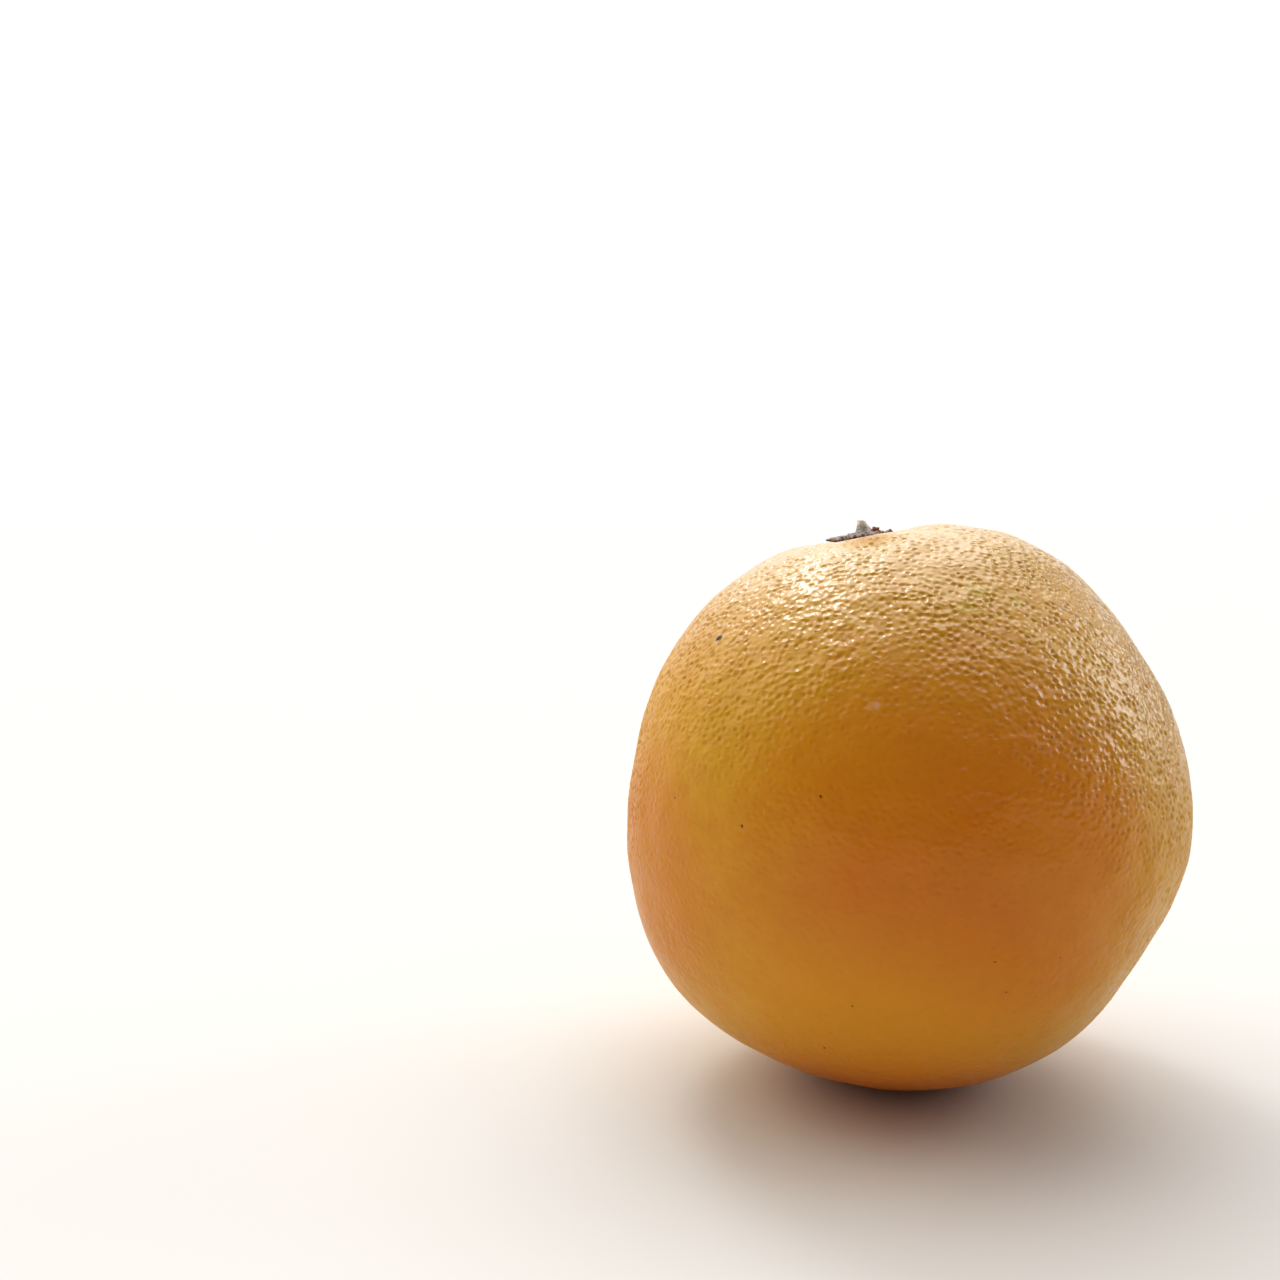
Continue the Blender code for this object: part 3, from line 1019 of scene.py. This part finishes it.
@dataclass
class StemPeg:
    """What is left of the stem: a short fluted peg of dry wood, wider at its foot, snapped off rough.

    A level runs from 0 at the foot to 1 at the broken end.
    """

    form: FruitForm
    finish: DryTissue = STEM_TISSUE
    foot_height: float = 0.75 * MM
    radius: float = 1.4 * MM
    offset: tuple[float, float] = (0.55 * MM, 0.0)
    lean: tuple[float, float] = (-0.20 * MM, 0.0)
    height: float = 2.15 * MM
    slant: tuple[float, float] = (-0.15, -0.10)
    flare: float = 0.20
    taper: float = 0.60
    flutes: int = 7
    flute_depth: float = 0.09
    flute_twist: float = 1.5
    flute_fade: float = 0.6
    grain_stretch: float = 1.2
    bark: tuple[Crumple, ...] = (
        Crumple(height=0.13, length=0.8 * MM, seed=4.0),
        Crumple(height=0.07, length=0.3 * MM, seed=6.0),
    )
    broken: tuple[Crumple, ...] = (
        Crumple(height=0.28 * MM, length=0.8 * MM, seed=7.0),
        Crumple(height=0.18 * MM, length=0.3 * MM, seed=11.0),
    )
    rounding: float = 0.55 * MM
    rounding_start: float = 0.4
    pith_depth: float = 0.22 * MM
    pith_width: float = 0.30 * MM
    pith_shade_width: float = 0.25 * MM
    pith_shade_start: float = 0.9
    raw_wood: tuple[float, float] = (0.50, 0.85)
    raw_middle: float = 0.8
    raw_patches: Crumple = Crumple(height=0.6, length=0.6 * MM, seed=12.0)
    foot_shade: float = 0.6
    foot_shade_reach: float = 0.18
    sides: int = 160
    rings: int = 32

    def build(self) -> bpy.types.Object:
        """Build the peg.

        Returns:
            The peg's object.
        """
        steps = [float(step) for step in np.linspace(0, 1, self.rings)]
        profile = [(0.0, 0.0), (0.5, 0.0)] + [(1.0, step) for step in steps]
        profile += [(1.0 - step, 1.0) for step in steps[1:]]
        peg = new_object("stem_peg", turned(profile, self.sides))
        flat = points_of(peg)
        out = np.hypot(flat[:, 0], flat[:, 1])
        bearing = np.arctan2(flat[:, 1], flat[:, 0])
        way = np.column_stack([np.cos(bearing), np.sin(bearing)])
        level = flat[:, 2]

        flare = 1 + self.flare * (1 - level) ** 2 - self.taper * level
        flute = self.flute_depth * np.cos(self.flutes * bearing + self.flute_twist * level)
        flute = 1 + flute * (1 - self.flute_fade * level)
        side = np.column_stack([way, level * self.grain_stretch]) * self.radius
        reach = out * self.radius * flare * flute * (1 + crumpled(side, self.bark))
        plan = way * reach[:, None]
        spots = np.column_stack([plan, np.zeros(len(plan))])
        height = self.height + plan @ np.array(self.slant) + crumpled(spots, self.broken)
        height -= self.pith_depth * bell(reach, self.pith_width)
        height -= self.rounding * eased(reach, self.rounding_start * self.radius, self.radius)
        plan = plan + self.offset + level[:, None] * self.lean
        points = self.form.to_world(np.column_stack([plan, self.foot_height + level * height]))
        raw = eased(level, *self.raw_wood) * (self.raw_middle + self.raw_patches.at(spots))
        # Painted shade: darker down the pith at the broken end, and round the foot on the calyx
        hollow = eased(level, self.pith_shade_start, 1.0) * bell(reach, self.pith_shade_width)
        hollow += self.foot_shade * bell(level, self.foot_shade_reach)
        set_points(peg, points, torn=raw, hollow=hollow)
        return peg


@dataclass(frozen=True)
class Crumb:
    """A scrap of dry tissue on the peel. Bearing and reach are its place in the stem's frame."""

    bearing: float
    reach: float
    size: float
    height: float
    torn: float


@dataclass
class CalyxCrumbs:
    """Scraps that broke off the torn sepals and lie where they fell, pressed into one another."""

    form: FruitForm
    finish: DryTissue = CALYX_TISSUE
    fineness: int = 4
    squash: tuple[float, float, float] = (1.0, 0.8, 0.7)
    lumps: tuple[Crumple, ...] = (
        Crumple(height=0.45, length=0.9, seed=20.0),
        Crumple(height=0.25, length=0.35, seed=30.0),
    )
    raw_middle: float = 0.8
    raw_patches: Crumple = Crumple(height=0.7, length=0.5, seed=40.0)
    crumbs: tuple[Crumb, ...] = (
        Crumb(bearing=346, reach=2.35 * MM, size=0.62 * MM, height=1.30 * MM, torn=1.0),
        Crumb(bearing=340, reach=2.75 * MM, size=0.50 * MM, height=0.85 * MM, torn=0.9),
        Crumb(bearing=338, reach=3.2 * MM, size=0.44 * MM, height=0.52 * MM, torn=0.3),
        Crumb(bearing=343, reach=3.6 * MM, size=0.46 * MM, height=0.50 * MM, torn=1.0),
        Crumb(bearing=340, reach=4.0 * MM, size=0.40 * MM, height=0.44 * MM, torn=0.1),
        Crumb(bearing=343, reach=4.5 * MM, size=0.48 * MM, height=0.48 * MM, torn=0.0),
        Crumb(bearing=75, reach=3.5 * MM, size=0.30 * MM, height=0.12 * MM, torn=0.5),
        Crumb(bearing=216, reach=3.3 * MM, size=0.26 * MM, height=0.10 * MM, torn=0.2),
    )

    def build(self) -> bpy.types.Object:
        """Build the scraps as one piece.

        Returns:
            The scraps' object.
        """
        shape = bmesh.new()
        for _ in self.crumbs:
            bmesh.ops.create_icosphere(shape, subdivisions=self.fineness, radius=1.0)
        scraps = new_object("calyx_crumbs", shape)
        balls = np.split(points_of(scraps), len(self.crumbs))
        points, torn = [], []
        for number, (crumb, ball) in enumerate(zip(self.crumbs, balls)):
            turn = math.radians(crumb.bearing)
            plan = np.array([[math.cos(turn), math.sin(turn)]]) * crumb.reach
            ground = self.form.peel_heights(plan)[0]
            lumps = 1 + sum(lump.at(ball, number) for lump in self.lumps)
            scrap = ball * lumps[:, None] * crumb.size * self.squash
            points.append(self.form.to_world(scrap + [*plan[0], ground + crumb.height]))
            torn.append(crumb.torn * (self.raw_middle + self.raw_patches.at(ball, number)))
        flat = np.concatenate(points)
        set_points(scraps, flat, torn=np.concatenate(torn), hollow=np.zeros(len(flat)))
        return scraps


@dataclass
class PeelScab:
    """A small dark flake of healed peel where a twig rubbed, with a paler edge."""

    form: FruitForm
    finish: DryTissue = SCAB_TISSUE
    azimuth: float = -141.5
    elevation: float = 39.6
    size: tuple[float, float] = (0.62 * MM, 0.40 * MM)
    height: float = 0.14 * MM
    slant: float = 62.0
    dome: int = 4
    foot: tuple[float, float] = (0.6, -0.5)
    outline: Crumple = Crumple(height=0.22, length=0.8, seed=51.0)
    least_lift: float = 0.75
    lumps: Crumple = Crumple(height=0.5, length=0.5, seed=52.0)
    rim_start: float = 0.85
    middle_shade: float = 0.7
    middle_width: float = 0.35
    sides: int = 72
    rings: int = 14

    def build(self) -> bpy.types.Object:
        """Build the flake.

        Returns:
            The flake's object.
        """
        steps = [float(step) for step in np.linspace(0, 1, self.rings)]
        profile = [(step, 1.0 - step**self.dome) for step in steps] + [self.foot, (0.0, self.foot[1])]
        flake = new_object("peel_scab", turned(profile, self.sides))
        flat = points_of(flake)
        out = np.hypot(flat[:, 0], flat[:, 1])
        edge = 1 + self.outline.at(flat * [1, 1, 0])
        lift = self.least_lift + self.lumps.at(flat * [1, 1, 0])
        scaled = flat * np.column_stack([edge, edge, lift]) * [*self.size, self.height]
        way = direction(self.azimuth, self.elevation)
        turn = way.to_track_quat("Z", "Y").to_matrix() @ Matrix.Rotation(math.radians(self.slant), 3, "Z")
        points = scaled @ np.array(turn).T + np.array(self.form.on_peel(self.azimuth, self.elevation))
        # The flake is darker in its middle, which is the scab's own colour
        shade = self.middle_shade * bell(out, self.middle_width)
        set_points(flake, points, torn=eased(out, self.rim_start, 1.0), hollow=shade)
        return flake


@dataclass
class Camera:
    """A camera like the photograph's, whose frame is square."""

    form: FruitForm
    image: float = 1280.0
    focal: float = 1487.0
    sensor: float = 36.0
    distance: float = 0.237
    elevation: float = 12.0
    fruit_pixel: tuple[float, float] = (899.5, 802.5)
    clip: float = 0.01

    def build(self) -> None:
        """Place the camera level and turn it so that the fruit's centre falls on its pixel."""
        lens = bpy.data.cameras.new("camera")
        lens.sensor_width = self.sensor
        lens.lens = self.focal / self.image * self.sensor
        lens.clip_start = self.clip
        right = self.fruit_pixel[0] - self.image / 2
        up = self.image / 2 - self.fruit_pixel[1]
        ray = Vector((right, up, self.focal)).normalized()
        down = math.radians(-self.elevation)
        pitch = math.asin(math.sin(down) / math.hypot(ray.y, ray.z)) - math.atan2(ray.y, ray.z)
        yaw = math.atan2(ray.x, ray.z * math.cos(pitch) - ray.y * math.sin(pitch))
        made = bpy.data.objects.new("camera", lens)
        bpy.context.collection.objects.link(made)
        made.location = self.form.centre + direction(-90, self.elevation) * self.distance
        made.rotation_euler = Euler((math.pi / 2 + pitch, 0, yaw))
        bpy.context.scene.camera = made


@dataclass(frozen=True)
class Glow:
    """A bright patch of the room, full within its core and gone past its reach. All angles are in degrees."""

    name: str
    azimuth: float
    elevation: float
    core: float
    reach: float
    strength: float
    colour: str


@dataclass
class Studio:
    """A pale floor in a white room whose light comes from above and behind, and is dim behind the camera.

    The front holds two Ys of a direction: below the first the room is dim, and past the second fully lit.
    """

    floor_size: float = 6.0
    floor_drop: float = 0.05 * MM
    floor_colour: str = "#E0DFDE"
    floor_roughness: float = 0.9
    dim: float = 0.12
    front: tuple[float, float] = (-0.60, 0.0)
    glows: tuple[Glow, ...] = (
        Glow("ceiling", azimuth=145, elevation=72, core=20, reach=85, strength=1.16, colour="#FFFEFC"),
        Glow("back_wall", azimuth=97, elevation=8, core=24, reach=42, strength=0.9, colour="#FFFEFC"),
        Glow("roof_window", azimuth=92, elevation=60, core=17, reach=34, strength=1.5, colour="#FFFFFF"),
        Glow("small_window", azimuth=122, elevation=50, core=6, reach=9, strength=9.0, colour="#FFFFFF"),
        Glow("right_window", azimuth=30, elevation=20, core=11, reach=20, strength=3.2, colour="#FFFFFF"),
        Glow("warm_lamp", azimuth=180, elevation=40, core=18, reach=27, strength=0.7, colour="#FFE8B8"),
        Glow("cream_wall", azimuth=172, elevation=5, core=26, reach=60, strength=0.7, colour="#F2DCB4"),
    )

    def build(self) -> None:
        """Make the floor and the room's light."""
        shape = bmesh.new()
        bmesh.ops.create_grid(shape, x_segments=1, y_segments=1, size=self.floor_size / 2)
        bmesh.ops.translate(shape, verts=shape.verts, vec=(0, 0, -self.floor_drop))
        floor = new_object("floor", shape)
        # Uncoated card, which gives a soft shadow and no clear reflection of the fruit
        material, _, shader = new_material("matt_white_card")
        shader.inputs["Base Color"].default_value = srgb(self.floor_colour)
        shader.inputs["Roughness"].default_value = self.floor_roughness
        floor.data.materials.append(material)

        world = bpy.data.worlds.new("white_room")
        bpy.context.scene.world = world
        world.use_nodes = True
        node = partial(add_node, world.node_tree)
        way = node("TexCoord", output="Generated")
        light = (0.0, 0.0, 0.0)
        for glow in self.glows:
            centre = direction(glow.azimuth, glow.elevation)
            near = node("VectorMath", {0: way, 1: centre}, "Value", operation="DOT_PRODUCT", label=glow.name)
            edge, core = (math.cos(math.radians(angle)) for angle in (glow.reach, glow.core))
            fade = {0: near, 1: edge, 2: core, 4: glow.strength}
            share = node("MapRange", fade, interpolation_type="SMOOTHSTEP")
            patch = node("VectorMath", {0: srgb(glow.colour)[:3], "Scale": share}, operation="SCALE")
            light = node("VectorMath", {0: light, 1: patch}, operation="ADD")
        to_back = node("SeparateXYZ", {0: way}, "Y")
        dim_side, lit_side = self.front
        back = node("MapRange", {0: to_back, 1: dim_side, 2: lit_side}, interpolation_type="SMOOTHSTEP")
        light = node("VectorMath", {0: light, "Scale": back}, operation="SCALE")
        light = node("VectorMath", {0: light, 1: (self.dim,) * 3}, operation="ADD")
        background = world.node_tree.nodes["Background"]
        world.node_tree.links.new(light, background.inputs["Color"])
        bpy.context.scene.view_settings.view_transform = "Standard"


def main() -> None:
    """Build the orange and its studio."""
    logging.basicConfig(level=logging.INFO)
    form = FruitForm()
    Camera(form).build()
    Studio().build()
    peel = Peel(form)
    skin = peel.build()
    peel.dress(skin)
    built = [(skin, "fruit", "peel")]
    dry = (
        (Calyx(form), "dried_calyx", "calyx", "calyx"),
        (StemPeg(form), "weathered_stem_wood", "stem_stub", "stem"),
        (CalyxCrumbs(form), "dried_calyx_scraps", None, "calyx"),
        (PeelScab(form), "healed_peel_scab", None, "peel"),
    )
    for maker, finish, node, slot in dry:
        piece = maker.build()
        dress_dry(piece, finish, maker.finish)
        built.append((piece, node, slot))
    for piece, node, slot in built:
        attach(piece, "root")
        if node:
            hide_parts(node)
        LOG.info("%s: %d faces", piece.name, len(piece.data.polygons))


if __name__ == "__main__":
    main()
